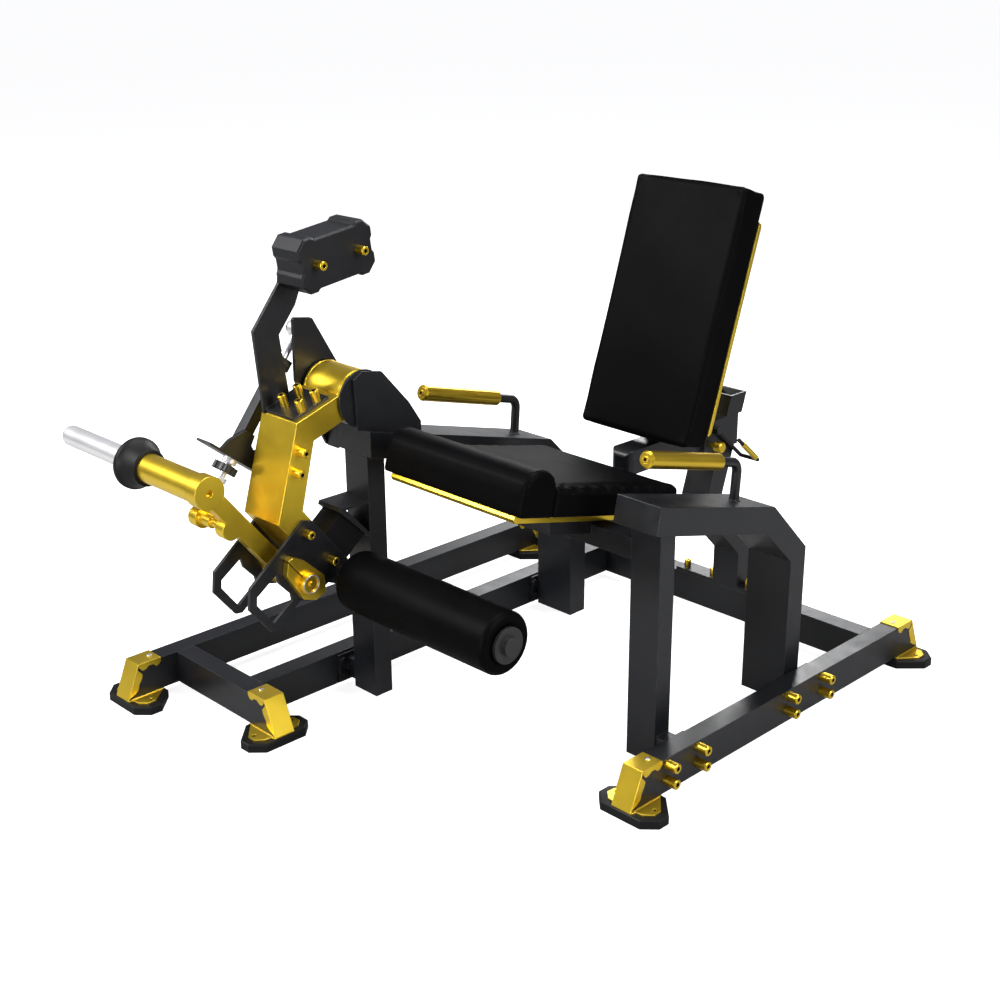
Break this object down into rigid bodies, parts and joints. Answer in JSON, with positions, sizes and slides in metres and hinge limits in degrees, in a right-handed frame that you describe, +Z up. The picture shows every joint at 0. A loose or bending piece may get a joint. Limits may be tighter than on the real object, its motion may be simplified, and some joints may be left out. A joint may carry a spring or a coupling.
{
  "type": "leg extension machine",
  "caption": "Plate-loaded seated leg extension machine with swinging counterweighted ankle-roller arm, linked weight horn, sliding backrest, seat and side handles.",
  "frame": {"origin": "centre of the footprint on the floor", "axes": "+Z up; -Y is the front where the ankle roller swings; +X is towards the seated user's left, the loading horn points along -X"},
  "size_m": [1.465, 1.6081, 1.2043],
  "materials": {
    "frame_paint": "satin graphite black powder coat",
    "gold_paint": "satin metallic gold-yellow coat",
    "gold_metal": "anodised gold",
    "steel": "satin zinc",
    "chrome": "polished",
    "black_steel": "black oxide",
    "black_plastic": "satin moulded",
    "rubber": "matte",
    "upholstery": "soft grained black leatherette",
    "iron": "satin black painted casting"
  },
  "bodies": {
    "frame": {"back_post": "frame_paint", "bearing_housing": "frame_paint", "crosshead": "frame_paint", "foot_caps": "gold_paint", "foot_pads": "rubber", "foot_screws": "steel", "frame_bolts": "gold_metal", "frame_nuts": "black_steel", "front_cross_beam": "frame_paint", "hub_shaft": "steel", "left_arch": "frame_paint", "left_front_leg": "frame_paint", "left_grip": "gold_metal", "left_handle": "frame_paint", "left_rail": "frame_paint", "pivot_post": "frame_paint", "rear_cross_beam": "frame_paint", "right_arch": "frame_paint", "right_grip": "gold_metal", "right_handle": "frame_paint", "right_inner_rail": "frame_paint", "right_outer_rail": "frame_paint", "seat_cushion": "upholstery", "seat_frame": "frame_paint", "seat_tray": "gold_paint", "slide_sleeve": "frame_paint", "stop_bracket": "frame_paint", "stop_bumper": "rubber", "thigh_roll": "upholstery", "yoke_inner_plate": "frame_paint", "yoke_outer_plate": "frame_paint"},
    "arm": {"arm_tube": "gold_paint", "hub_drum": "gold_paint", "hub_bearings": "steel", "counterweight_arm": "frame_paint", "counterweight_block": "iron", "arm_bolts": "gold_metal", "right_side_plate": "frame_paint", "left_side_plate": "frame_paint", "lever_shaft": "gold_metal", "shaft_clamp": "gold_paint", "roller_axle": "frame_paint"},
    "lever": {"horn_lever": "gold_paint", "horn_sleeve": "gold_paint", "horn_collar": "rubber", "plate_horn": "chrome"},
    "link": {"link_rod": "chrome", "link_tube": "frame_paint", "link_bracket": "frame_paint", "link_screw": "chrome", "link_rod_end": "gold_paint"},
    "knob": {"star_knob": "black_plastic"},
    "roller": {"ankle_roller": "upholstery", "roller_cap": "black_plastic"},
    "backrest": {"slide_tube": "frame_paint", "back_bracket": "frame_paint", "back_panel": "gold_paint", "back_cushion": "upholstery"},
    "release": {"release_lever": "black_steel"},
    "lock_pin": {"pull_pin": "gold_metal"}
  },
  "joints": [
    {"name": "arm_swing", "type": "hinge", "parent": "frame", "child": "arm", "pos_m": [-0.1695, -0.36, 0.773], "axis": [-1, 0, 0], "range_deg": [0, 80]},
    {"name": "lever_swing", "type": "hinge", "parent": "arm", "child": "lever", "pos_m": [-0.1675, -0.552, 0.391], "axis": [-1, 0, 0], "range_deg": [-56, 0]},
    {"name": "link_swing", "type": "hinge", "parent": "frame", "child": "link", "pos_m": [-0.2725, -0.397, 0.909], "axis": [-1, 0, 0], "range_deg": [0, 73]},
    {"name": "knob_turn", "type": "hinge", "parent": "link", "child": "knob", "pos_m": [-0.2725, -0.61772, 0.62954], "axis": [0, -0.6198, -0.7848], "continuous": true},
    {"name": "roller_spin", "type": "hinge", "parent": "arm", "child": "roller", "pos_m": [0.2015, -0.44382, 0.37829], "axis": [-1, 0, 0], "continuous": true},
    {"name": "back_slide", "type": "slide", "parent": "frame", "child": "backrest", "axis": [0, 1, 0], "range_m": [0, 0.1]},
    {"name": "release_pull", "type": "hinge", "parent": "frame", "child": "release", "pos_m": [0.251, 0.476, 0.585], "axis": [1, 0, 0], "range_deg": [0, 20], "stiffness_Nm_per_rad": 1, "springref_deg": -20.05},
    {"name": "pin_pull", "type": "slide", "parent": "frame", "child": "lock_pin", "axis": [1, 0, 0], "range_m": [0, 0.012], "stiffness_N_per_m": 800, "springref_m": -0.005}
  ],
  "couplings": [
    {"joint": "lever_swing", "follows": "arm_swing", "ratio": -0.694},
    {"joint": "link_swing", "follows": "arm_swing", "ratio": 0.906}
  ]
}
